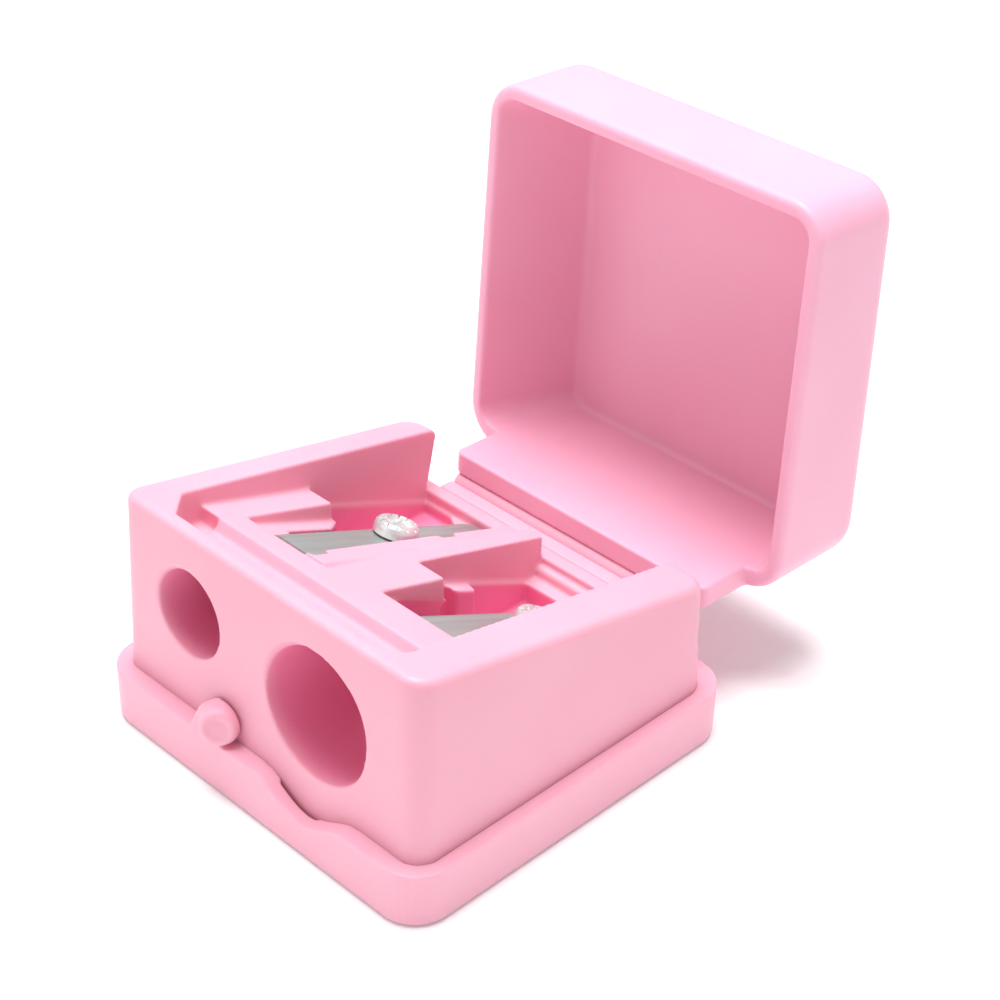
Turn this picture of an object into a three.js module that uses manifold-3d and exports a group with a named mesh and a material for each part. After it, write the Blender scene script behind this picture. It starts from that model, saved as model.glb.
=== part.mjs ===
// Two-hole pencil sharpener with a hinged lid, standing open.
// Millimetres, +Z up. The origin is the centre of the tray's underside; +X runs to the right along
// the front face, where the pencils go in, and +Y runs to the back, where the lid is hinged.

import * as THREE from "three";
import { mergeVertices } from "three/addons/utils/BufferGeometryUtils.js";
import Module from "manifold-3d";

const wasm = await Module();
wasm.setup();

// Tray
const TRAY_HALF_X = 20.17;
const TRAY_HALF_Y = 19.21;
const TRAY_CORNER = 3.6;
const TRAY_EDGE = 0.45;
const RIM_Z = 5.4;
const TRAY_FLOOR = 1.6;
const DIP_RADIUS = 7.9;
const DIP_X = 6.1;
const DIP_DEPTH = 1.95;
const KNOB_RADIUS = 2;
const KNOB = [-4.1, -18.65, 7.5];
const KNOB_RAMP = [-5.6, -18.6, 5.4];
const KNOB_RAMP_SIZE = [3.4, 1.1, 2.6];

// Clearance between pieces that stand against each other
const GAP = 0.3;

// Block, measured at its foot; its sides lean in as they rise
const BLOCK_HALF_X = 18.95;
const BLOCK_FRONT = -17.68;
const BLOCK_BACK = 17.14;
const BLOCK_CORNER = 2.1;
const BLOCK_DRAFT = 0.028;

// Planes of the block that fall towards the back, as height = level - slope * (y - at)
const WALL_TOP = { level: 23.25, slope: 0.203, at: -17.635 };
const PLATEAU = { level: 20.2, slope: 0.3, at: -10.9 };
const STRIP = { level: 17.5, slope: 0.35, at: -1.8 };
const BEDS = {
  small: { level: 13.7, slope: 0.41, at: 3.5 },
  large: { level: 13, slope: 0.47, at: 3.5 },
};

// Inside of the block's wall
const WALL_LEFT = -15.2;
const WALL_RIGHT = 14.1;
const WALL_FRONT = -15.5;
const GROOVE_BACK = PLATEAU.at;
const GROOVE_FLOOR = 19.4;
const GROOVE_RISE = 0.03;
const PIT_RIGHT = -12.3;
const PIT_FLOOR = 17.6;
const LEDGE_Z = 10.05;
const BAY_BACK = 15.5;
const STRIP_RIGHT = -1.9;
const STRIP_FRONT = -8.7;

// Blade bays, each with a tab left standing in its front left corner
const BAYS = {
  small: { left: WALL_LEFT, right: -4.2, front: -8.5, tabRight: -12, tabBack: 1 },
  large: { left: 0, right: WALL_RIGHT, front: -7, tabRight: 3.3, tabBack: 0.15 },
};
const RIB_ROWS = [[14, 8.1], [15, 8.9]];
const RIB_RADIUS = 0.5;

// Pencil holes: a cylinder, then a cone, tilted down towards the back
const HOLE_TILT = THREE.MathUtils.degToRad(7);
const HOLES = {
  small: { x: -9.29, z: 15.04, radius: 4, taperAt: 14.2, tipAt: 25.3, tipRadius: 0.8 },
  large: { x: 6.64, z: 13.57, radius: 6, taperAt: 12.5, tipAt: 29.8, tipRadius: 1 },
};
const MOUTH_CHAMFER = 0.4;

// Blades lie on the bed, held by one screw each
const BLADE_THICKNESS = 0.42;
const BLADE_LIFT = 0.15;
const BLADES = {
  small: { edge: -9.35, back: -4.55, front: -8.15, rear: 14.8, screw: [-7.15, 3.75], ears: [-8.15, 6.7] },
  large: { edge: 6.6, back: 13.65, front: -6.65, rear: 13, screw: [10.2, 3.9], ears: [] },
};
const EAR_REACH = 0.65;
const EAR_LENGTH = 1.2;
const SCREW_HEAD_RADIUS = 2.05;
const SCREW_HEAD_HEIGHT = 1.8;
const SHANK_RADIUS = 0.75;
const SHANK_LENGTH = 1.7;
const SHANK_CLEARANCE = 0.3;

// Lid: an open box leaning back from its hinge. Along it runs up from the hinge end,
// and across it runs back from the rim.
const LID_HALF_X = 19.45;
const LID_LENGTH = 37.3;
const LID_DEPTH = 11.8;
const LID_CORNER = 4.2;
const LID_ROUND = 2.3;
const LID_WALL = 1.75;
const LID_BACK_WALL = 2;
const LID_HINGE_WALL = 2.2;
const LID_NARROWING = 0.03;
const LID_SHALLOWING = 0.08;
const LID_LEAN = THREE.MathUtils.degToRad(2.3);
const LID_ORIGIN = [0, 25.05, 10.3];
const TONGUE_REACH = 5.8;
const TONGUE_LEFT = -15.4;
const TONGUE_RIGHT = 15.8;

// Hinge: a leaf on the tray's back rim, and the web that bends between it and the lid's tongue
const LEAF_LEFT = -14.9;
const LEAF_RIGHT = 15.2;
const LEAF_FRONT = BLOCK_BACK + GAP;
const LEAF_BACK = 18.5;
const LEAF_TOP = 9.7;
const WEB_OUTSIDE = [[19.4, 7.6], [19.55, 8.5], [20.2, 9.4], [21.4, 9.8]];
const WEB_INSIDE = [[21.4, 10.1], [20, 10.05], [19.1, 9.4], [18.85, 8.5], [18.85, 7.6]];

// Shut, the rim lies along the wall's top and the hinge wall stands just behind the block
const SHUT_BACK = 19.35;
const SHUT_LIFT = 0.28;

function plastic(color) {
  return new THREE.MeshStandardMaterial({ color, roughness: 0.45, metalness: 0 });
}

function metal(color, roughness) {
  return new THREE.MeshStandardMaterial({ color, roughness, metalness: 1 });
}

const PINK = plastic(0xf6a9c6);
const PALE_PINK = plastic(0xf8b6d0);
const BLADE_STEEL = metal(0xaab0ac, 0.35);
const SCREW_STEEL = metal(0xd8dada, 0.2);

// Joining and cutting

function solid(geometry) {
  const plain = geometry.clone();
  plain.deleteAttribute("normal");
  plain.deleteAttribute("uv");
  const merged = mergeVertices(plain, 1e-5);
  return new wasm.Manifold(new wasm.Mesh({
    numProp: 3,
    vertProperties: new Float32Array(merged.attributes.position.array),
    triVerts: new Uint32Array(merged.index.array),
  }));
}

function named(name, shape, material) {
  const data = shape.getMesh();
  const geometry = new THREE.BufferGeometry();
  geometry.setAttribute("position", new THREE.BufferAttribute(data.vertProperties, 3));
  geometry.setIndex(new THREE.BufferAttribute(data.triVerts, 1));
  geometry.computeVertexNormals();
  const mesh = new THREE.Mesh(geometry, material);
  mesh.name = name;
  return mesh;
}

// Building blocks

function box(x0, x1, y0, y1, z0, z1) {
  const geometry = new THREE.BoxGeometry(x1 - x0, y1 - y0, z1 - z0);
  return solid(geometry.translate((x0 + x1) / 2, (y0 + y1) / 2, (z0 + z1) / 2));
}

function roundedRectangle(x0, x1, y0, y1, radius) {
  const shape = new THREE.Shape();
  shape.moveTo(x0 + radius, y0);
  shape.lineTo(x1 - radius, y0);
  shape.absarc(x1 - radius, y0 + radius, radius, -Math.PI / 2, 0);
  shape.lineTo(x1, y1 - radius);
  shape.absarc(x1 - radius, y1 - radius, radius, 0, Math.PI / 2);
  shape.lineTo(x0 + radius, y1);
  shape.absarc(x0 + radius, y1 - radius, radius, Math.PI / 2, Math.PI);
  shape.lineTo(x0, y0 + radius);
  shape.absarc(x0 + radius, y0 + radius, radius, Math.PI, 1.5 * Math.PI);
  return shape;
}

// A bar along X, from its section in Y and Z
function barAlongX(points, x0, x1) {
  const shape = new THREE.Shape(points.map(([y, z]) => new THREE.Vector2(y, z)));
  const geometry = new THREE.ExtrudeGeometry(shape, { depth: x1 - x0, bevelEnabled: false });
  geometry.rotateZ(Math.PI / 2);
  geometry.rotateY(Math.PI / 2);
  return solid(geometry.translate(x0, 0, 0));
}

function heightOn(plane, y) {
  return plane.level - plane.slope * (y - plane.at);
}

// Everything above a falling plane, from y0 to y1
function abovePlane(plane, x0, x1, y0, y1) {
  const top = 40;
  return barAlongX([[y0, heightOn(plane, y0)], [y1, heightOn(plane, y1)], [y1, top], [y0, top]], x0, x1);
}

// Base tray

function trayBody() {
  const outline = roundedRectangle(
    TRAY_EDGE - TRAY_HALF_X, TRAY_HALF_X - TRAY_EDGE,
    TRAY_EDGE - TRAY_HALF_Y, TRAY_HALF_Y - TRAY_EDGE, TRAY_CORNER - TRAY_EDGE,
  );
  const geometry = new THREE.ExtrudeGeometry(outline, {
    depth: RIM_Z - 2 * TRAY_EDGE, bevelThickness: TRAY_EDGE, bevelSize: TRAY_EDGE,
    bevelSegments: 3, curveSegments: 8,
  });
  return solid(geometry.translate(0, 0, TRAY_EDGE));
}

function trayCavity() {
  const outline = roundedRectangle(
    -BLOCK_HALF_X - GAP, BLOCK_HALF_X + GAP, BLOCK_FRONT - GAP, BLOCK_BACK + GAP, BLOCK_CORNER + GAP,
  );
  const geometry = new THREE.ExtrudeGeometry(outline, {
    depth: 2 * RIM_Z, bevelEnabled: false, curveSegments: 8,
  });
  return solid(geometry.translate(0, 0, TRAY_FLOOR));
}

function rimDip() {
  const length = 4;
  const geometry = new THREE.CylinderGeometry(DIP_RADIUS, DIP_RADIUS, length, 64);
  return solid(geometry.translate(DIP_X, BLOCK_FRONT - length / 2, RIM_Z - DIP_DEPTH + DIP_RADIUS));
}

function knob() {
  const ball = solid(new THREE.SphereGeometry(KNOB_RADIUS, 24, 16).translate(...KNOB));
  const neck = solid(new THREE.CylinderGeometry(1.2, 1.6, 2.6, 20).rotateX(Math.PI / 2)
    .translate(KNOB[0], KNOB[1], RIM_Z + 0.4));
  const ramp = solid(new THREE.SphereGeometry(1, 20, 12).scale(...KNOB_RAMP_SIZE)
    .translate(...KNOB_RAMP));
  const blockSide = box(-12, 0, BLOCK_FRONT - GAP, 0, 0, 14);
  return ball.add(neck).add(ramp).subtract(blockSide);
}

function hingeLeaf() {
  return box(LEAF_LEFT, LEAF_RIGHT, LEAF_FRONT, LEAF_BACK, TRAY_FLOOR + 1, LEAF_TOP);
}

function baseTray() {
  return trayBody().subtract(trayCavity()).subtract(rimDip()).add(knob()).add(hingeLeaf());
}

// Sharpener block

function blockBody() {
  const foot = TRAY_FLOOR + GAP;
  const height = 24;
  const middleY = (BLOCK_FRONT + BLOCK_BACK) / 2;
  const halfY = (BLOCK_BACK - BLOCK_FRONT) / 2;
  const outline = roundedRectangle(-BLOCK_HALF_X, BLOCK_HALF_X, -halfY, halfY, BLOCK_CORNER);
  const geometry = new THREE.ExtrudeGeometry(outline, {
    depth: height, bevelEnabled: false, curveSegments: 8,
  });
  const place = geometry.attributes.position;
  for (let i = 0; i < place.count; i += 1) {
    const inset = BLOCK_DRAFT * place.getZ(i);
    place.setX(i, place.getX(i) * (1 - inset / BLOCK_HALF_X));
    place.setY(i, place.getY(i) * (1 - inset / halfY));
  }
  return solid(geometry.translate(0, middleY, foot));
}

// The hollow inside the wall, open at the back: its plan, with a cut corner at the front left and a
// round one at the front right, over the stepped floor
function wallHollow() {
  const cut = 2.7;
  const round = 2.2;
  const plan = new THREE.Shape();
  plan.moveTo(WALL_LEFT + cut, WALL_FRONT);
  plan.lineTo(WALL_RIGHT - round, WALL_FRONT);
  plan.absarc(WALL_RIGHT - round, WALL_FRONT + round, round, -Math.PI / 2, 0);
  plan.lineTo(WALL_RIGHT, 20);
  plan.lineTo(WALL_LEFT, 20);
  plan.lineTo(WALL_LEFT, WALL_FRONT + cut);
  const column = solid(new THREE.ExtrudeGeometry(plan, {
    depth: 40, bevelEnabled: false, curveSegments: 8,
  }));
  const floor = [
    [GROOVE_BACK, heightOn(PLATEAU, GROOVE_BACK)],
    [BAY_BACK, heightOn(PLATEAU, BAY_BACK)],
    [BAY_BACK, LEDGE_Z], [21, LEDGE_Z], [21, 40], [GROOVE_BACK, 40],
  ];
  const overPlateau = barAlongX(floor, -20, 20);
  return column.intersect(overPlateau).add(column.intersect(grooveCut())).add(pitCut());
}

function grooveCut() {
  const depth = 20;
  const geometry = new THREE.BoxGeometry(60, GROOVE_BACK - WALL_FRONT + 2, depth);
  geometry.translate(0, (GROOVE_BACK + WALL_FRONT) / 2 - 1, depth / 2);
  geometry.rotateY(-Math.atan(GROOVE_RISE));
  return solid(geometry.translate(0, 0, GROOVE_FLOOR));
}

function pitCut() {
  const plan = new THREE.Shape([
    new THREE.Vector2(WALL_LEFT + 2.7, WALL_FRONT), new THREE.Vector2(PIT_RIGHT + 0.4, WALL_FRONT),
    new THREE.Vector2(PIT_RIGHT, GROOVE_BACK), new THREE.Vector2(WALL_LEFT, GROOVE_BACK),
    new THREE.Vector2(WALL_LEFT, WALL_FRONT + 2.7),
  ]);
  const geometry = new THREE.ExtrudeGeometry(plan, { depth: 5, bevelEnabled: false });
  return solid(geometry.translate(0, 0, PIT_FLOOR));
}

function bayCut(size) {
  const bay = BAYS[size];
  const bed = BEDS[size];
  const besideTab = abovePlane(bed, bay.tabRight, bay.right, bay.front, BAY_BACK);
  const behindTab = abovePlane(bed, bay.left, bay.right, bay.tabBack, BAY_BACK);
  return besideTab.add(behindTab);
}

// The divider's left strip stands a little above the plateau at the front, and below it at the back
function raisedStrip() {
  const strip = box(BAYS.small.right, STRIP_RIGHT, STRIP_FRONT, STRIP.at, 14, 22);
  return strip.subtract(abovePlane(STRIP, -20, 20, STRIP_FRONT - 1, STRIP.at + 1));
}

function loweredStrip() {
  return abovePlane(STRIP, BAYS.small.right - 1, STRIP_RIGHT, STRIP.at, BAY_BACK + 0.5);
}

function ribs(bay) {
  const rows = RIB_ROWS.map(([y, z]) => {
    const bar = new THREE.CylinderGeometry(RIB_RADIUS, RIB_RADIUS, bay.right - bay.left + 1, 12);
    bar.rotateZ(Math.PI / 2);
    return solid(bar.translate((bay.left + bay.right) / 2, y, z))
      .add(box(bay.left - 0.5, bay.right + 0.5, y - RIB_RADIUS, BAY_BACK + 1, z - 2, z));
  });
  return rows.reduce((all, row) => all.add(row));
}

function holeCut(hole) {
  const before = 6;
  const profile = [
    [0, -before], [hole.radius + MOUTH_CHAMFER, -before], [hole.radius + MOUTH_CHAMFER, 0],
    [hole.radius, MOUTH_CHAMFER], [hole.radius, hole.taperAt], [hole.tipRadius, hole.tipAt],
    [0, hole.tipAt],
  ];
  const geometry = new THREE.LatheGeometry(profile.map(([r, y]) => new THREE.Vector2(r, y)), 40);
  geometry.rotateX(-HOLE_TILT);
  return solid(geometry.translate(hole.x, BLOCK_FRONT, hole.z));
}

// Lays a geometry made about the screw's place, with Z square to the blade bed, where it belongs
function onBed(geometry, size) {
  const [x, y] = BLADES[size].screw;
  geometry.rotateX(-Math.atan(BEDS[size].slope));
  return solid(geometry.translate(x, y, heightOn(BEDS[size], y)));
}

function screwHole(size) {
  const radius = SHANK_RADIUS + SHANK_CLEARANCE;
  const low = -SHANK_LENGTH - GAP;
  const high = 2;
  const geometry = new THREE.CylinderGeometry(radius, radius, high - low, 24);
  return onBed(geometry.rotateX(Math.PI / 2).translate(0, 0, (low + high) / 2), size);
}

// Reliefs in the divider for the ears on the small blade
function earReliefs() {
  const { back, ears } = BLADES.small;
  const cuts = ears.map((y) => abovePlane(
    BEDS.small, BAYS.small.right - 1, back + EAR_REACH + GAP, y - GAP, y + EAR_LENGTH + GAP,
  ));
  return cuts.reduce((all, cut) => all.add(cut));
}

// Above the ledge the back of the wall is square to its top, so that the shut lid's back clears it
function backRelief() {
  const clear = SHUT_BACK - LID_HINGE_WALL - GAP;
  const topZ = heightOn(WALL_TOP, SHUT_BACK) + SHUT_LIFT;
  const drop = topZ - LEDGE_Z;
  const rise = 8;
  return barAlongX([
    [clear - WALL_TOP.slope * drop, LEDGE_Z], [30, LEDGE_Z], [30, topZ + rise],
    [clear + WALL_TOP.slope * rise, topZ + rise],
  ], -30, 30);
}

function sharpenerBlock() {
  const overWall = abovePlane(WALL_TOP, -30, 30, -30, 30);
  let block = blockBody().subtract(overWall).subtract(wallHollow());
  block = block.add(raisedStrip()).subtract(loweredStrip());
  block = block.subtract(bayCut("small")).subtract(bayCut("large")).add(ribs(BAYS.large));
  for (const size of ["small", "large"]) {
    block = block.subtract(holeCut(HOLES[size])).subtract(screwHole(size));
  }
  return block.subtract(earReliefs()).subtract(backRelief());
}

// Blades and screws

// The outline runs along the bed, with the cutting edge on the left and square ears on the right
function bladeOutline(size) {
  const part = BLADES[size];
  const along = (y) => (y - part.screw[1]) * Math.hypot(1, BEDS[size].slope);
  const edge = part.edge - part.screw[0];
  const back = part.back - part.screw[0];
  const shape = new THREE.Shape();
  shape.moveTo(edge, along(part.front));
  for (const y of part.ears) {
    shape.lineTo(back, along(y));
    shape.lineTo(back + EAR_REACH, along(y));
    shape.lineTo(back + EAR_REACH, along(y + EAR_LENGTH));
    shape.lineTo(back, along(y + EAR_LENGTH));
  }
  if (part.ears.length === 0) {
    shape.lineTo(back, along(part.front));
  }
  shape.lineTo(back, along(part.rear));
  shape.lineTo(edge, along(part.rear));
  shape.closePath();
  const hole = new THREE.Path();
  hole.absarc(0, 0, SHANK_RADIUS + SHANK_CLEARANCE, 0, 2 * Math.PI, true);
  shape.holes.push(hole);
  return shape;
}

function blade(size) {
  const geometry = new THREE.ExtrudeGeometry(bladeOutline(size), {
    depth: BLADE_THICKNESS, bevelEnabled: false, curveSegments: 12,
  });
  return onBed(geometry.translate(0, 0, BLADE_LIFT), size);
}

// A domed head over a plain shank
function screwBody(under) {
  const flat = 0.6;
  const steps = 5;
  const profile = [
    [0, -SHANK_LENGTH], [SHANK_RADIUS, -SHANK_LENGTH], [SHANK_RADIUS, under],
    [SCREW_HEAD_RADIUS, under],
  ];
  for (let i = 0; i < steps; i += 1) {
    const turn = (i / steps) * (Math.PI / 2);
    const rise = (SCREW_HEAD_HEIGHT - flat) * Math.sin(turn);
    profile.push([SCREW_HEAD_RADIUS * Math.cos(turn), under + flat + rise]);
  }
  profile.push([0, under + SCREW_HEAD_HEIGHT]);
  const lathe = new THREE.LatheGeometry(profile.map(([r, y]) => new THREE.Vector2(r, y)), 28);
  return lathe.rotateX(Math.PI / 2);
}

// The screw has a cross recess in its head
function screw(size) {
  const under = BLADE_LIFT + BLADE_THICKNESS + 0.15;
  const recess = { length: 2.2, width: 0.5, depth: 0.8, turn: 0.5 };
  let body = onBed(screwBody(under), size);
  for (const turn of [recess.turn, recess.turn + Math.PI / 2]) {
    const slot = new THREE.BoxGeometry(recess.length, recess.width, 2).rotateZ(turn);
    slot.translate(0, 0, under + SCREW_HEAD_HEIGHT - recess.depth + 1);
    body = body.subtract(onBed(slot, size));
  }
  return body;
}

// Lid, in its own frame: X across, Y back from the rim, Z up from the hinge end

// A closed skin through rings that all have the same number of points
function loft(rings) {
  const count = rings[0].length;
  const positions = rings.flat(2);
  const index = [];
  for (let j = 0; j + 1 < rings.length; j += 1) {
    for (let i = 0; i < count; i += 1) {
      const a = j * count + i;
      const b = j * count + ((i + 1) % count);
      index.push(a, b + count, b, a, a + count, b + count);
    }
  }
  const last = (rings.length - 1) * count;
  for (let i = 1; i + 1 < count; i += 1) {
    index.push(0, i, i + 1, last, last + i + 1, last + i);
  }
  const geometry = new THREE.BufferGeometry();
  geometry.setAttribute("position", new THREE.BufferAttribute(new Float32Array(positions), 3));
  geometry.setIndex(index);
  return solid(geometry);
}

// A rounded rectangle as a plain list of points, always with the same number of them
function roundedOutline(halfX, z0, z1, radius) {
  const perCorner = 6;
  const corners = [
    [halfX - radius, z0 + radius, -90], [halfX - radius, z1 - radius, 0],
    [radius - halfX, z1 - radius, 90], [radius - halfX, z0 + radius, 180],
  ];
  return corners.flatMap(([x, z, start]) => Array.from({ length: perCorner + 1 }, (_, i) => {
    const turn = THREE.MathUtils.degToRad(start + (90 * i) / perCorner);
    return [x + radius * Math.cos(turn), z + radius * Math.sin(turn)];
  }));
}

// A box with soft corners from y = start to y = depth. Its far edges curve in with radius round, and
// it is a little narrower and shallower towards its upper end.
function softBox(halfX, z0, z1, start, depth, corner, round) {
  const steps = 9;
  const rings = [];
  for (let j = -1; j <= steps; j += 1) {
    const turn = (Math.max(j, 0) / steps) * (Math.PI / 2) * 0.97;
    const inset = round * (1 - Math.cos(turn));
    const y = j < 0 ? start : depth - round + round * Math.sin(turn);
    rings.push(roundedOutline(halfX - inset, z0 + inset, z1 - inset, corner).map(([x, z]) => {
      const up = z / LID_LENGTH;
      return [x * (1 - LID_NARROWING * up), y * (1 - LID_SHALLOWING * up), z];
    }));
  }
  return loft(rings);
}

function lid() {
  const below = -2;
  const outside = softBox(LID_HALF_X, 0, LID_LENGTH, 0, LID_DEPTH, LID_CORNER, LID_ROUND);
  const inside = softBox(
    LID_HALF_X - LID_WALL, LID_HINGE_WALL, LID_LENGTH - LID_WALL, below,
    LID_DEPTH - LID_BACK_WALL, LID_CORNER - 1, LID_ROUND - 0.5,
  );
  const tongue = box(TONGUE_LEFT, TONGUE_RIGHT, -TONGUE_REACH, 1, 0, LID_HINGE_WALL);
  return outside.add(tongue).subtract(inside);
}

function placedLid() {
  const mesh = named("lid", lid(), PINK);
  mesh.position.set(...LID_ORIGIN);
  mesh.rotation.x = -LID_LEAN;
  return mesh;
}

function livingHinge() {
  return barAlongX([...WEB_OUTSIDE, ...WEB_INSIDE], LEAF_LEFT, LEAF_RIGHT);
}

const sharpener = new THREE.Group();
sharpener.name = "pencil_sharpener";
sharpener.add(
  named("base_tray", baseTray(), PALE_PINK),
  named("sharpener_block", sharpenerBlock(), PINK),
  named("blade_small", blade("small"), BLADE_STEEL),
  named("blade_large", blade("large"), BLADE_STEEL),
  named("screw_small", screw("small"), SCREW_STEEL),
  named("screw_large", screw("large"), SCREW_STEEL),
  placedLid(),
  named("living_hinge", livingHinge(), PINK),
);

export default sharpener;
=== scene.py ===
import math

import bmesh
import bpy
from mathutils import Matrix, Vector


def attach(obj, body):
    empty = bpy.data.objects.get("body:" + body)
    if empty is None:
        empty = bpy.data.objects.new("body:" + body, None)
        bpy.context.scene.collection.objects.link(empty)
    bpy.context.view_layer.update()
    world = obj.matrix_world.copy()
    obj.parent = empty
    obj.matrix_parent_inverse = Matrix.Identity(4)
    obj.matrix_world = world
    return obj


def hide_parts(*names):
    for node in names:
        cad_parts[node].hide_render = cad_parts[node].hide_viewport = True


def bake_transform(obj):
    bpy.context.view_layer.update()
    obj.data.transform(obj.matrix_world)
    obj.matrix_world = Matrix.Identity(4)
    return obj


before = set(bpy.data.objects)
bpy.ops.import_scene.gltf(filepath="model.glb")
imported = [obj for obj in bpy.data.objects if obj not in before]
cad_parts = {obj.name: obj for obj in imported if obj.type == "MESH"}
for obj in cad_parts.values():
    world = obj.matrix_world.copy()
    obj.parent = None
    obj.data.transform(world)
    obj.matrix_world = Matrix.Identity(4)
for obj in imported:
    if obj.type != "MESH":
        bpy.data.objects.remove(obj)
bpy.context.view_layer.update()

# Shapes are built in millimetres, in the CAD model's frame, and scaled to metres at the end
MM = 0.001
# A height well above the block, which cutting shapes reach to
CLEAR = 40

# Tray
TRAY_HALF = (20.17, 19.21)
TRAY_CORNER = 3.6
RIM_Z = 5.4
TRAY_FLOOR = 1.6
DIP_X = 6.3
DIP_HALF = 5.7
DIP_DEPTH = 1.95
KNOB = (-3.4, -19.4, 7.4)
# Fixed hinge leaf: left, right, front, back and top
LEAF = (-14.9, 15.2, 16.93, 18.5, 10.03)

# Block
BLOCK_HALF_X = 18.95
BLOCK_FRONT = -17.68
BLOCK_BACK = 17.14
BLOCK_FOOT = 1.9
BLOCK_CORNER = 2.1
BLOCK_DRAFT = 0.028
# Planes that fall towards the back: a height, the slope, and the y where it has that height
WALL_TOP = (23.25, 0.203, -17.635)
PLATEAU = (20.2, 0.3, -10.9)
STRIP = (17.5, 0.35, -1.8)
SMALL_BED = (13.7, 0.41, 3.5)
LARGE_BED = (13.0, 0.47, 3.5)
# The room inside the wall
WALL_LEFT = -15.2
WALL_RIGHT = 14.1
WALL_FRONT = -15.5
WALL_CHAMFER = 2.7
GROOVE_FLOOR = 19.3
GROOVE_BACK = -10.9
PIT_RIGHT = -12.7
PIT_FLOOR = 18.6
LEDGE_Z = 10.05
BAY_BACK = 15.5
HOLE_TILT = 7
# x and z of the mouth, radius, depths where the taper starts and ends, and the radius there
SMALL_HOLE = (-9.29, 15.04, 4.0, 14.2, 25.3, 0.8)
LARGE_HOLE = (6.64, 13.57, 6.0, 12.5, 29.8, 1.0)
# Left, right, front and back of the floor beside each blade that is open below
SMALL_POCKET = (-15.5, -8.9, -5.6, 15.4)
LARGE_POCKET = (-0.3, 7.1, -4.8, 13.4)

# Blades and screws
BLADE_THICKNESS = 0.42
BLADE_LIFT = 0.15
SMALL_SCREW = (-7.15, 3.75)
LARGE_SCREW = (10.2, 3.9)

# Lid
LID_HALF_X = 19.45
LID_LENGTH = 37.3
LID_DEPTH = 11.8
LID_WALL = 1.4
LID_BACK_WALL = 2.0
LID_HINGE_WALL = 2.2
LID_NARROWING = 0.03
LID_SHALLOWING = 0.08
LID_LEAN = 2.3
LID_ORIGIN = (0, 25.05, 10.3)
# Left, right and front, in the lid's own frame
TONGUE = (-15.4, 15.8, -5.8)


# Building

def make(name, mesh):
    obj = bpy.data.objects.new(name, mesh)
    bpy.context.scene.collection.objects.link(obj)
    return obj


def from_lists(points, faces):
    mesh = bpy.data.meshes.new("part")
    mesh.from_pydata(points, [], faces)
    tidy = bmesh.new()
    tidy.from_mesh(mesh)
    bmesh.ops.recalc_face_normals(tidy, faces=tidy.faces)
    tidy.to_mesh(mesh)
    tidy.free()
    return make("part", mesh)


def loft(rings):
    """A closed skin through rings that have the same number of points."""
    count = len(rings[0])
    faces = []
    for j in range(len(rings) - 1):
        for i in range(count):
            a = j * count + i
            b = j * count + (i + 1) % count
            faces.append((a, b, b + count, a + count))
    last = (len(rings) - 1) * count
    faces.append(tuple(range(count)))
    faces.append(tuple(last + i for i in range(count)))
    return from_lists([p for ring in rings for p in ring], faces)


def prism(outline, low, high, axis):
    """outline is in the two other axes, in order: (y, z) for X, (x, z) for Y and (x, y) for Z."""
    def place(a, b, h):
        return {"X": (h, a, b), "Y": (a, h, b), "Z": (a, b, h)}[axis]
    return loft([[place(a, b, h) for a, b in outline] for h in (low, high)])


def box(x0, x1, y0, y1, z0, z1):
    return prism([(x0, y0), (x1, y0), (x1, y1), (x0, y1)], z0, z1, "Z")


def arc(x, y, radius, start, end, steps=8):
    turns = [math.radians(start + (end - start) * i / steps) for i in range(steps + 1)]
    return [(x + radius * math.cos(t), y + radius * math.sin(t)) for t in turns]


def rounded(x0, x1, y0, y1, low, high=None, steps=8):
    """A rounded rectangle, with one corner radius at y0 and another at y1."""
    high = low if high is None else high
    return (
        arc(x1 - low, y0 + low, low, -90, 0, steps) + arc(x1 - high, y1 - high, high, 0, 90, steps)
        + arc(x0 + high, y1 - high, high, 90, 180, steps)
        + arc(x0 + low, y0 + low, low, 180, 270, steps)
    )


def lathe(profile, segments=48):
    """Turns (radius, z) points about Z. The two ends lie on the axis, and are closed flat."""
    turns = [2 * math.pi * i / segments for i in range(segments)]
    return loft([
        [(radius * math.cos(t), radius * math.sin(t), z) for t in turns] for radius, z in profile[1:-1]
    ])


def moved(obj, matrix):
    obj.data.transform(matrix)
    return obj


def turn(degrees, axis):
    return Matrix.Rotation(math.radians(degrees), 4, axis)


def applied(obj):
    """obj with its modifiers made into its mesh."""
    bpy.context.view_layer.update()
    graph = bpy.context.evaluated_depsgraph_get()
    mesh = bpy.data.meshes.new_from_object(obj.evaluated_get(graph))
    obj.modifiers.clear()
    obj.data = mesh
    return obj


def combine(obj, operation, *others):
    for other in others:
        change = obj.modifiers.new("combine", "BOOLEAN")
        change.operation = operation
        change.solver = "EXACT"
        change.object = other
        applied(obj)
        bpy.data.objects.remove(other)
    return obj


def cut(obj, *others):
    return combine(obj, "DIFFERENCE", *others)


def join(obj, *others):
    return combine(obj, "UNION", *others)


def common(obj, other):
    return combine(obj, "INTERSECT", other)


def height(plane, y):
    level, slope, at = plane
    return level - slope * (y - at)


def above(plane, x0, x1, y0, y1):
    """Everything above a falling plane, from y0 to y1."""
    outline = [(y0, height(plane, y0)), (y1, height(plane, y1)), (y1, CLEAR), (y0, CLEAR)]
    return prism(outline, x0, x1, "X")


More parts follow.
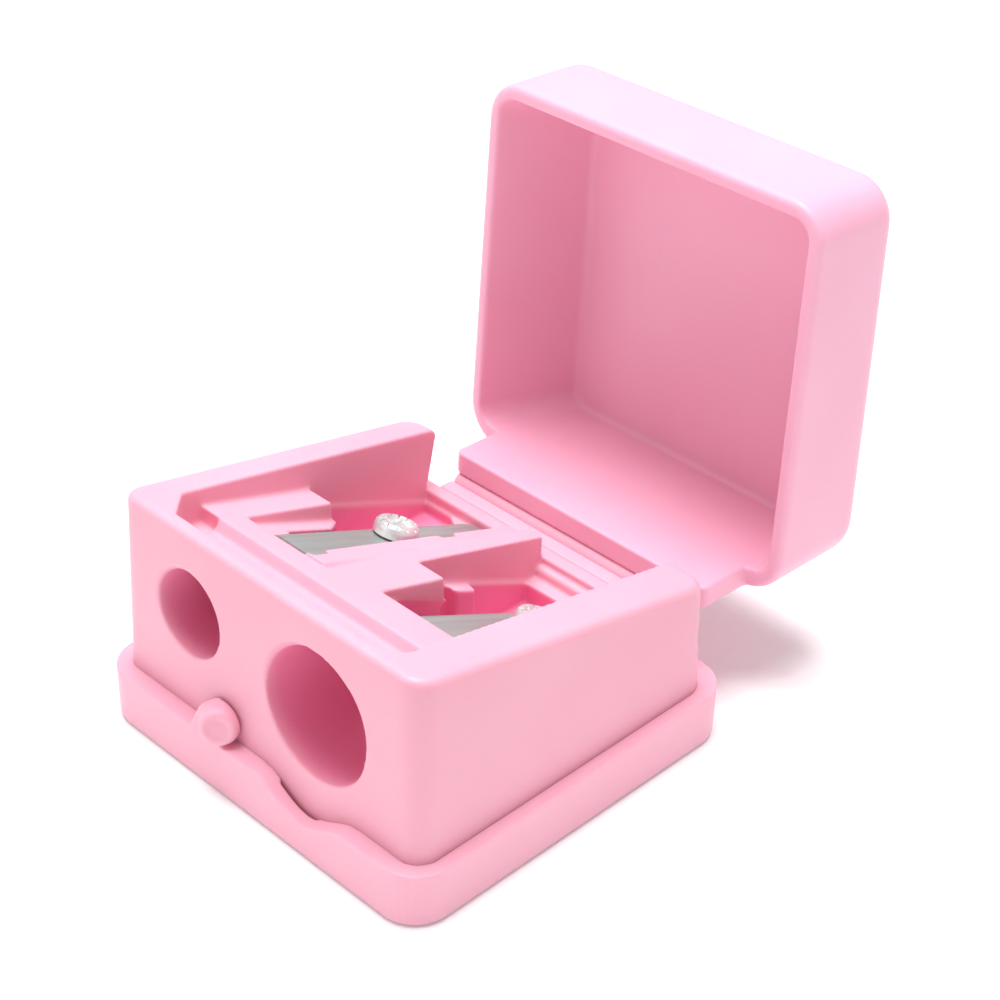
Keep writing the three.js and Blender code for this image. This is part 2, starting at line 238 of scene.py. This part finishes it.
def soften(obj, size, passes, keep):
    """Rounds every edge of a plastic part a little: an even skin, then smoothing."""
    skin = obj.modifiers.new("skin", "REMESH")
    skin.mode = "VOXEL"
    skin.voxel_size = size
    smooth = obj.modifiers.new("smooth", "SMOOTH")
    smooth.factor = 0.5
    smooth.iterations = passes
    thin = obj.modifiers.new("thin", "DECIMATE")
    thin.ratio = keep
    return applied(obj)


def bevelled(obj, width, segments=2):
    bevel = obj.modifiers.new("bevel", "BEVEL")
    bevel.width = width
    bevel.segments = segments
    bevel.limit_method = "ANGLE"
    bevel.angle_limit = math.radians(35)
    bevel.use_clamp_overlap = True
    return applied(obj)


def finished(obj, name, look, body, cad_node, smooth_angle=None):
    """Puts a part into metres, gives it its material, ties it to its body if it has one, and hides the
    CAD node's part.
    """
    obj.name = name
    obj.data.transform(Matrix.Scale(MM, 4))
    obj.data.materials.clear()
    obj.data.materials.append(look)
    obj.data.shade_smooth()
    if smooth_angle:
        obj.data.set_sharp_from_angle(angle=math.radians(smooth_angle))
    if body:
        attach(obj, body)
    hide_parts(cad_node)
    return obj


# Tray

def tray_rim_z(x):
    """Height of the front rim, with its soft dip below the large hole."""
    across = (x - DIP_X) / DIP_HALF
    return RIM_Z - (DIP_DEPTH * (0.5 + 0.5 * math.cos(math.pi * across)) if abs(across) < 1 else 0)


def tray_shell():
    half_x, half_y = TRAY_HALF
    rings = []
    for inset, z in ((0.5, 0.0), (0.14, 0.16), (0.02, 0.6), (0.0, 2.6), (0.0, RIM_Z)):
        rings.append([(x, y, z) for x, y in rounded(
            inset - half_x, half_x - inset, inset - half_y, half_y - inset, TRAY_CORNER - inset,
        )])
    shell = loft(rings)
    cavity = loft([[(x, y, z) for x, y in rounded(
        inset - BLOCK_HALF_X, BLOCK_HALF_X - inset, BLOCK_FRONT + inset, BLOCK_BACK - inset,
        BLOCK_CORNER,
    )] for inset, z in ((0.02, TRAY_FLOOR), (0.14, RIM_Z), (0.14, 12))])
    steps = 32
    low = [DIP_X - DIP_HALF + 2 * DIP_HALF * i / steps for i in range(steps + 1)]
    dip = [(x, tray_rim_z(x)) for x in low] + [(low[-1], RIM_Z + 3), (low[0], RIM_Z + 3)]
    slit = box(2.6, 7.4, BLOCK_FRONT - 0.22, BLOCK_FRONT + 0.3, 2.4, 7)
    return cut(shell, cavity, prism(dip, -22, BLOCK_FRONT + 0.2, "Y"), slit)


def knob():
    """A short round stub that lies along the front rim, with a steep shoulder on its left."""
    x, y, z = KNOB
    stub = lathe([(0, -3.2), (1.1, -3.2), (1.6, -2.8), (1.78, -2.2), (1.78, -0.6), (1.66, -0.2),
                  (1.38, 0.02), (1.12, -0.02), (0.85, -0.18), (0, -0.22)])
    facing = Vector((0.62, -0.77, 0.11)).to_track_quat("Z", "Y").to_matrix().to_4x4()
    moved(stub, Matrix.Translation((x, y, z)) @ facing)
    shoulder = []
    steps = 10
    for i in range(steps + 1):
        along = i / steps
        at = x - 4.9 + 2.3 * along
        rise = along * along * (3 - 2 * along)
        top = RIM_Z - 0.3 + (z + 1.2 - RIM_Z) * rise
        shoulder.append([(at, -19.15, RIM_Z - 2.2), (at, -19.15, top - 0.5), (at, -18.7, top),
                         (at, -18.2, top), (at, -17.0, top - 0.2), (at, -17.0, RIM_Z - 2.2)])
    return cut(join(loft(shoulder), stub), box(-14, 2, BLOCK_FRONT + 0.05, 0, 0, 14))


def build_tray():
    left, right, front, back, top = LEAF
    leaf = box(left, right, front, back, TRAY_FLOOR + 1, top)
    tray = soften(join(tray_shell(), knob(), leaf), 0.15, 4, 0.2)
    return finished(tray, "tray", TRAY_PLASTIC, "base", "base_tray")


# Block

def block_body():
    middle = (BLOCK_FRONT + BLOCK_BACK) / 2
    half_y = (BLOCK_BACK - BLOCK_FRONT) / 2
    rings = []
    for z in (BLOCK_FOOT, 26.0):
        inset = BLOCK_DRAFT * (z - BLOCK_FOOT)
        rings.append([(x, y + middle, z) for x, y in rounded(
            inset - BLOCK_HALF_X, BLOCK_HALF_X - inset, inset - half_y, half_y - inset,
            BLOCK_CORNER,
        )])
    return bevelled(cut(loft(rings), above(WALL_TOP, -30, 30, -30, 30)), 0.75, 4)


def wall_hollow():
    """The room inside the wall: over the plateau and ledge, and over the groove behind the front wall."""
    plan = [(WALL_LEFT + WALL_CHAMFER, WALL_FRONT)]
    plan += arc(WALL_RIGHT - 2.2, WALL_FRONT + 2.2, 2.2, -90, 0)
    plan += [(WALL_RIGHT, 20), (WALL_LEFT, 20), (WALL_LEFT, WALL_FRONT + WALL_CHAMFER)]
    floor = [(GROOVE_BACK, height(PLATEAU, GROOVE_BACK)), (BAY_BACK, height(PLATEAU, BAY_BACK)),
             (BAY_BACK, LEDGE_Z), (21, LEDGE_Z), (21, CLEAR), (GROOVE_BACK, CLEAR)]
    behind = common(prism(plan, 0, CLEAR, "Z"), prism(floor, -20, 20, "X"))
    channel = [(WALL_FRONT - 2, GROOVE_FLOOR + 0.7), (GROOVE_BACK - 2, GROOVE_FLOOR + 0.3),
               (GROOVE_BACK - 1.2, GROOVE_FLOOR), (GROOVE_BACK - 0.8, GROOVE_FLOOR),
               (GROOVE_BACK + 0.01, height(PLATEAU, GROOVE_BACK)), (GROOVE_BACK + 0.01, CLEAR),
               (WALL_FRONT - 2, CLEAR)]
    groove = common(prism(plan, 0, CLEAR, "Z"), prism(channel, -30, 30, "X"))
    return behind, groove


def front_pit():
    plan = [(WALL_LEFT + WALL_CHAMFER, WALL_FRONT), (PIT_RIGHT + 0.4, WALL_FRONT),
            (PIT_RIGHT, GROOVE_BACK), (WALL_LEFT, GROOVE_BACK), (WALL_LEFT, WALL_FRONT + WALL_CHAMFER)]
    return prism(plan, PIT_FLOOR, 22.6, "Z")


def pockets():
    """Deep pockets left of each cutting edge, where the shavings fall."""
    small = [(-10.2, -3.0), (-9.4, -3.4), (-9.2, 13.6), (-11.6, 15.2), (WALL_LEFT + 0.15, 15.2),
             (WALL_LEFT + 0.15, 1.2), (-11.7, 1.2), (-11.6, -1.0)]
    large = [(3.5, -4.4), (6.4, -4.4), (6.9, 13.3), (0.25, 13.3), (0.25, 6.0), (1.5, 5.6),
             (1.5, 3.4), (0.25, 3.0), (0.25, 0.45), (3.5, 0.45)]
    return prism(small, 7.6, 30, "Z"), prism(large, 6.2, 30, "Z")


def hole(x, z, radius, taper_at, tip_at, tip_radius):
    """A pencil hole: a slightly flared mouth, a straight stretch, and a cone."""
    flare = 0.45
    cone = lathe([(0, -6), (radius + flare, -6), (radius + flare, 0.0), (radius, flare),
                  (radius, taper_at), (tip_radius, tip_at), (0, tip_at)], 72)
    moved(cone, turn(-90 - HOLE_TILT, "X"))
    return moved(cone, Matrix.Translation((x, BLOCK_FRONT, z)))


def bay(plane, left, right, front, tab_right, tab_back):
    """The open room over a blade, but for a tab that is left standing at its front left."""
    beside = above(plane, tab_right, right, front, BAY_BACK)
    behind = above(plane, left, right, tab_back, BAY_BACK)
    return beside, behind


def bed_lip():
    """The bed's thin edge beside the small blade, over the widening hole."""
    plan = [(-12.4, -8.7), (-9.5, -8.7), (-9.5, -5.9), (-10.5, -5.3), (-10.5, -0.5), (-11.5, 0.9),
            (-12.4, 0.9)]
    level, slope, at = SMALL_BED
    lip = cut(prism(plan, 0, CLEAR, "Z"), above(SMALL_BED, -20, 0, -12, 4))
    return common(lip, above((level - 0.7, slope, at), -20, 0, -12, 4))


def back_steps():
    """Two low steps across the back of the large blade's bay."""
    profile = [(13.5, 6.0), (13.5, 8.1), (13.7, 8.35), (14.6, 8.35), (14.75, 9.1), (14.95, 9.3),
               (16.2, 9.35), (16.2, 6.0)]
    return prism(profile, -0.4, 14.4, "X")


def back_relief():
    """Slants the back of the wall, so that the lid can swing shut past it."""
    clear = 16.85
    top = height(WALL_TOP, 19.35) + 0.28
    slope = WALL_TOP[1]
    outline = [(clear - slope * (top - LEDGE_Z), LEDGE_Z), (30, LEDGE_Z), (30, top + 8),
               (clear + slope * 8, top + 8)]
    return prism(outline, -30, 30, "X")


def clamped(value):
    return min(1.0, max(0.0, value))


def painted_shade_weight(x, y, z):
    """How far a point lies inside a hole or pocket, from 0 to 1: the weight of the painted shade there.
    """
    if abs(x) > 16.2 or y < BLOCK_FRONT + 0.2 or z < 4:
        return 0.0
    inside = 0.0
    along = y - BLOCK_FRONT
    lean = math.tan(math.radians(HOLE_TILT))
    for (hole_x, hole_z, radius, *_), bed in ((SMALL_HOLE, SMALL_BED), (LARGE_HOLE, LARGE_BED)):
        up = z - hole_z + along * lean
        top = min(height(PLATEAU, y) - 0.6, height(bed, y) - 0.3)
        if math.hypot(x - hole_x, up) < radius + 0.25 and z < top:
            # Painted shade: the hole's upper side takes a little more of the deeper pink than its floor
            shade = 0.88 + 0.12 * max(-1.0, min(1.0, up / radius + 0.4))
            inside = shade * clamped((along - 0.2) / 1.6)
    for (left, right, front, back), bed, margin, fade in (
        (SMALL_POCKET, SMALL_BED, 0.3, 0.3), (LARGE_POCKET, LARGE_BED, 0.1, 0.25),
    ):
        if left < x < right and front < y < back:
            inside = max(inside, clamped((height(bed, y) - margin - z) / fade))
    return inside


def paint_hollow_shade(block):
    """Marks what lies inside the holes and pockets for a painted shade: a deeper pink stands in for the
    light that reaches there only by bouncing.
    """
    marks = block.data.attributes.new("hollow", "FLOAT", "POINT")
    for point, mark in zip(block.data.vertices, marks.data):
        mark.value = painted_shade_weight(*point.co)


def build_block():
    block = cut(block_body(), *wall_hollow(), front_pit())
    raised = cut(box(-4.2, -1.9, -8.7, -1.8, 14, 22), above(STRIP, -20, 20, -9.7, 0))
    block = join(block, raised)
    block = cut(block, above(STRIP, -5.2, -1.9, -1.8, 16))
    block = cut(block, *bay(SMALL_BED, WALL_LEFT, -4.2, -8.5, -12, 1))
    block = cut(block, *bay(LARGE_BED, 0, WALL_RIGHT, -7, 3.3, 0.15))
    block = cut(block, *pockets())
    block = join(block, back_steps())
    block = cut(block, hole(*SMALL_HOLE), hole(*LARGE_HOLE))
    block = join(block, bed_lip())
    for y in (-8.15, 6.7):
        block = cut(block, above(SMALL_BED, -5.2, -3.6, y - 0.3, y + 1.5))
    block = soften(cut(block, back_relief()), 0.17, 5, 0.2)
    # Painted shade for the insides of the holes and pockets
    paint_hollow_shade(block)
    return finished(block, "block", BLOCK_PLASTIC, "base", "sharpener_block")


# Blades and screws

def bed_matrix(plane, x, y):
    """Puts something made about the origin square to a blade bed."""
    tilt = -math.degrees(math.atan(plane[1]))
    return Matrix.Translation((x, y, height(plane, y))) @ turn(tilt, "X")


def build_blade(size, plane, screw, edge, back, front, rear, ears):
    """A blade with a ground edge on its left, and small ears on its right at each y in ears."""
    stretch = math.hypot(1, plane[1])
    x0, x1 = edge - screw[0], back - screw[0]
    y0, y1 = (front - screw[1]) * stretch, (rear - screw[1]) * stretch
    grind = 0.95
    low, high = BLADE_LIFT, BLADE_LIFT + BLADE_THICKNESS
    section = [(x0, low), (x1, low), (x1, high), (x0 + grind, high), (x0, low + 0.12)]
    blade = prism(section, y0, y1, "Y")
    for y in ears:
        at = (y - screw[1]) * stretch
        blade = join(blade, box(x1 - 0.4, x1 + 0.65, at, at + 1.2, low, high))
    bore = lathe([(0, -2), (1.05, -2), (1.05, 2), (0, 2)])
    blade = bevelled(cut(blade, bore), 0.05)
    moved(blade, bed_matrix(plane, *screw))
    return finished(blade, size + "_blade", BLADE_STEEL, "base", "blade_" + size, 30)


def build_screw(size, plane, place, angle):
    """A domed screw with a cross and a ring of fine notches."""
    under = BLADE_LIFT + BLADE_THICKNESS + 0.12
    profile = [(0, -1.7), (0.75, -1.7), (0.75, under), (1.9, under), (2.05, under + 0.12),
               (2.08, under + 0.3), (2.08, under + 0.7), (2.0, under + 1.0), (1.82, under + 1.25),
               (1.6, under + 1.36), (1.42, under + 1.34), (1.25, under + 1.0), (1.0, under + 0.9),
               (0.45, under + 1.25), (0, under + 1.25)]
    screw = lathe(profile, 64)
    for across in (angle, angle + 90):
        slot = box(-1.3, 1.3, -0.2, 0.2, under + 0.45, under + 3)
        screw = cut(screw, moved(slot, turn(across, "Z")))
    for i in range(6):
        notch = box(-2.4, 2.4, -0.1, 0.1, under + 1.08, under + 3)
        screw = cut(screw, moved(notch, turn(angle + 15 + 30 * i, "Z")))
    screw = bevelled(screw, 0.05)
    moved(screw, bed_matrix(plane, *place))
    return finished(screw, size + "_screw", SCREW_STEEL, "base", "screw_" + size, 40)


# Lid, made in its own frame: X across, Y back from the rim, Z up from the hinge end

def lid_ring(half, y, bottom, top, low, high):
    ring = []
    for x, z in rounded(-half, half, bottom, top, low, high, 10):
        up = z / LID_LENGTH
        ring.append((x * (1 - LID_NARROWING * up), y * (1 - LID_SHALLOWING * up), z))
    return ring


def lid_outside():
    profile = [(0.5, 0), (0.25, 0.1), (0.08, 0.3), (0, 0.65)]
    radius = 2.3
    steps = 8
    for i in range(steps + 1):
        # Just short of a quarter turn
        t = math.radians(90 * i / steps) * 0.97
        profile.append((radius * (1 - math.cos(t)), LID_DEPTH - radius + radius * math.sin(t)))
    return loft([
        lid_ring(LID_HALF_X - inset, y, inset, LID_LENGTH - inset, 4.2, 3.5) for inset, y in profile
    ])


def lid_inside():
    """The hollow's side walls slant inwards to a crease against its flat back."""
    depth = LID_DEPTH - LID_BACK_WALL
    rings = []
    for inset, y in ((-0.2, -2), (-0.2, 0), (-0.05, 0.12), (0.05, 0.4), (3.7, depth - 0.3),
                     (4.1, depth)):
        floor = LID_HINGE_WALL + (0.35 if y == depth else 0)
        half = LID_HALF_X - LID_WALL - inset
        rings.append(lid_ring(half, y, floor, LID_LENGTH - LID_WALL - 0.3 * inset, 1.9, 1.8))
    return loft(rings)


def lid_tongue():
    left, right, front = TONGUE
    corner = 0.9
    back = 1.5
    plan = arc(left + corner, front + corner, corner, 180, 270)
    plan += arc(right - corner, front + corner, corner, 270, 360)
    return prism(plan + [(right, back), (left, back)], 0, LID_HINGE_WALL, "Z")


def build_lid():
    lid = cut(join(lid_outside(), lid_tongue()), lid_inside())
    lid = soften(lid, 0.17, 5, 0.2)
    moved(lid, Matrix.Translation(LID_ORIGIN) @ turn(-LID_LEAN, "X"))
    return finished(lid, "cover", LID_PLASTIC, "lid", "lid")


def build_web():
    """The thin strip that bends: a bowed sheet from the leaf on the tray to the lid's tongue."""
    path = [(18.66, 7.7), (18.67, 8.4), (18.72, 9.1), (18.86, 9.65), (19.15, 10.08), (19.6, 10.3),
            (20.2, 10.33), (21.2, 10.3)]
    half = 0.16
    left, right = LEAF[0] + 0.1, LEAF[1] - 0.1
    count = 24
    xs = [left + (right - left) * k / count for k in range(count + 1)]
    rings = []
    for i, (y, z) in enumerate(path):
        before, after = path[max(i - 1, 0)], path[min(i + 1, len(path) - 1)]
        along = Vector((after[0] - before[0], after[1] - before[1])).normalized()
        side = (-along.y * half, along.x * half)
        ring = [(x, y + side[0], z + side[1]) for x in xs]
        ring += [(x, y - side[0], z - side[1]) for x in reversed(xs)]
        rings.append(ring)
    web = loft(rings)
    finished(web, "hinge_web", TRAY_PLASTIC, None, "living_hinge", 50)
    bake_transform(web)
    return web


# Materials

def material(name):
    made = bpy.data.materials.new(name)
    made.use_nodes = True
    made.node_tree.nodes.clear()
    return made


def link(tree, source, output, target, socket):
    tree.links.new(source.outputs[output], target.inputs[socket])


def node(tree, kind, **values):
    made = tree.nodes.new(kind)
    for key, value in values.items():
        setattr(made, key, value)
    return made


def ramp(tree, low, high, low_colour, high_colour):
    made = node(tree, "ShaderNodeValToRGB")
    made.color_ramp.elements[0].position = low
    made.color_ramp.elements[0].color = (*low_colour, 1)
    made.color_ramp.elements[1].position = high
    made.color_ramp.elements[1].color = (*high_colour, 1)
    return made


def noise(tree, place, scale, detail=2.0):
    made = node(tree, "ShaderNodeTexNoise")
    made.inputs["Scale"].default_value = scale
    made.inputs["Detail"].default_value = detail
    tree.links.new(place.outputs["Object"], made.inputs["Vector"])
    return made


def plastic(name, deep, pale, rough):
    """Moulded plastic: slight colour drift, faint orange-peel, light inside it, and a painted shade of
    deeper pink in holes and pockets.
    """
    made = material(name)
    tree = made.node_tree
    out = node(tree, "ShaderNodeOutputMaterial")
    skin = node(tree, "ShaderNodeBsdfPrincipled")
    place = node(tree, "ShaderNodeTexCoord")
    drift = noise(tree, place, 55)
    colour = ramp(tree, 0.3, 0.7, deep, pale)
    link(tree, drift, "Fac", colour, "Fac")
    # Painted shade: where the hollow mark is set, the colour is mixed towards a deeper pink in place of
    # dim, bounced light
    painted_shade_mask = node(tree, "ShaderNodeAttribute", attribute_name="hollow")
    mix = node(tree, "ShaderNodeMix", data_type="RGBA")
    link(tree, painted_shade_mask, "Fac", mix, "Factor")
    tree.links.new(colour.outputs["Color"], mix.inputs[6])
    mix.inputs[7].default_value = (*PAINTED_SHADE_PINK, 1)
    tree.links.new(mix.outputs[2], skin.inputs["Base Color"])
    fine = noise(tree, place, 900, 3)
    shine = node(tree, "ShaderNodeMapRange")
    shine.inputs["To Min"].default_value = rough - 0.05
    shine.inputs["To Max"].default_value = rough + 0.07
    link(tree, fine, "Fac", shine, "Value")
    link(tree, shine, "Result", skin, "Roughness")
    bump = node(tree, "ShaderNodeBump")
    bump.inputs["Strength"].default_value = 0.06
    bump.inputs["Distance"].default_value = 0.0001
    link(tree, fine, "Fac", bump, "Height")
    link(tree, bump, "Normal", skin, "Normal")
    skin.inputs["Subsurface Weight"].default_value = 0.25
    skin.inputs["Subsurface Radius"].default_value = (1.0, 0.35, 0.5)
    skin.inputs["Subsurface Scale"].default_value = 0.0012
    skin.inputs["IOR"].default_value = 1.48
    skin.inputs["Specular IOR Level"].default_value = 0.4
    link(tree, skin, "BSDF", out, "Surface")
    return made


def steel(name, dark, light, rough, streak, brushed, metallic):
    """Steel with fine grinding marks along one direction."""
    made = material(name)
    tree = made.node_tree
    out = node(tree, "ShaderNodeOutputMaterial")
    skin = node(tree, "ShaderNodeBsdfPrincipled")
    place = node(tree, "ShaderNodeTexCoord")
    stretch = node(tree, "ShaderNodeMapping")
    stretch.inputs["Scale"].default_value = streak
    link(tree, place, "Object", stretch, "Vector")
    marks = node(tree, "ShaderNodeTexNoise")
    marks.inputs["Scale"].default_value = 1.0
    marks.inputs["Detail"].default_value = 4.0
    link(tree, stretch, "Vector", marks, "Vector")
    colour = ramp(tree, 0.35, 0.65, dark, light)
    link(tree, marks, "Fac", colour, "Fac")
    link(tree, colour, "Color", skin, "Base Color")
    shine = node(tree, "ShaderNodeMapRange")
    shine.inputs["To Min"].default_value = rough - 0.06
    shine.inputs["To Max"].default_value = rough + 0.08
    link(tree, marks, "Fac", shine, "Value")
    link(tree, shine, "Result", skin, "Roughness")
    bump = node(tree, "ShaderNodeBump")
    bump.inputs["Strength"].default_value = brushed
    bump.inputs["Distance"].default_value = 0.00003
    link(tree, marks, "Fac", bump, "Height")
    link(tree, bump, "Normal", skin, "Normal")
    skin.inputs["Metallic"].default_value = metallic
    link(tree, skin, "BSDF", out, "Surface")
    return made


def paper():
    made = material("paper")
    tree = made.node_tree
    out = node(tree, "ShaderNodeOutputMaterial")
    skin = node(tree, "ShaderNodeBsdfPrincipled")
    place = node(tree, "ShaderNodeTexCoord")
    grain = noise(tree, place, 400)
    colour = ramp(tree, 0.3, 0.7, (0.9, 0.9, 0.9), (0.93, 0.93, 0.93))
    link(tree, grain, "Fac", colour, "Fac")
    link(tree, colour, "Color", skin, "Base Color")
    link(tree, colour, "Color", skin, "Emission Color")
    skin.inputs["Emission Strength"].default_value = 0.1
    skin.inputs["Roughness"].default_value = 0.9
    link(tree, skin, "BSDF", out, "Surface")
    return made


# Painted shade: the deeper, redder pink that holes and pockets take in place of their dim, bounced light
PAINTED_SHADE_PINK = (0.88, 0.27, 0.45)
BLOCK_PLASTIC = plastic("block_plastic", (0.83, 0.385, 0.49), (0.86, 0.42, 0.525), 0.42)
TRAY_PLASTIC = plastic("tray_plastic", (0.85, 0.41, 0.52), (0.88, 0.445, 0.555), 0.42)
LID_PLASTIC = plastic("lid_plastic", (0.87, 0.42, 0.56), (0.90, 0.46, 0.60), 0.38)
BLADE_STEEL = steel(
    "blade_steel", (0.38, 0.42, 0.41), (0.45, 0.49, 0.48), 0.5, (1500, 60, 60), 0.25, 0.7,
)
SCREW_STEEL = steel(
    "screw_steel", (0.70, 0.74, 0.73), (0.92, 0.94, 0.93), 0.3, (900, 900, 900), 0.2, 0.6,
)


# Studio

def area_light(name, place, target, size, watts):
    data = bpy.data.lights.new(name, "AREA")
    data.shape = "RECTANGLE"
    data.size, data.size_y = size
    data.energy = watts
    light = bpy.data.objects.new(name, data)
    bpy.context.scene.collection.objects.link(light)
    light.location = place
    aim = Vector(target) - Vector(place)
    light.rotation_euler = aim.to_track_quat("-Z", "Y").to_euler()
    return light


def build_studio():
    floor = box(-2500, 2500, -2500, 2500, -4, -0.02)
    floor.name = "floor"
    floor.data.transform(Matrix.Scale(MM, 4))
    floor.data.materials.append(paper())
    world = bpy.data.worlds.new("studio")
    world.use_nodes = True
    background = world.node_tree.nodes["Background"]
    background.inputs["Color"].default_value = (1, 1, 1, 1)
    background.inputs["Strength"].default_value = 0.46
    bpy.context.scene.world = world
    area_light("overhead", (-0.05, 0.045, 0.6), (0, 0.01, 0.01), (0.34, 0.34), 5.1)
    area_light("front", (-0.25, -0.45, 0.3), (0, 0, 0.02), (0.4, 0.4), 0.4)
    area_light("side", (0.5, -0.15, 0.3), (0, 0, 0.02), (0.4, 0.3), 0.05)


def build_camera():
    data = bpy.data.cameras.new("camera")
    data.sensor_width = 36
    data.lens = 78.48
    data.clip_start = 0.01
    camera = bpy.data.objects.new("camera", data)
    bpy.context.scene.collection.objects.link(camera)
    right = Vector((0.7061, 0.7078, 0.0240))
    up = Vector((-0.4041, 0.3748, 0.8344))
    back = right.cross(up)
    turned = Matrix((right, up, back)).transposed().to_4x4()
    camera.matrix_world = Matrix.Translation((0.110393, -0.103772, 0.123259)) @ turned
    bpy.context.scene.camera = camera


build_tray()
build_block()
build_blade("small", SMALL_BED, SMALL_SCREW, -9.35, -4.55, -8.15, 14.8, (-8.15, 6.7))
build_blade("large", LARGE_BED, LARGE_SCREW, 6.6, 13.65, -6.65, 13.0, ())
build_screw("small", SMALL_BED, SMALL_SCREW, 28)
build_screw("large", LARGE_BED, LARGE_SCREW, 50)
build_lid()
build_web()
build_studio()
build_camera()
bpy.context.scene.view_settings.view_transform = "Standard"
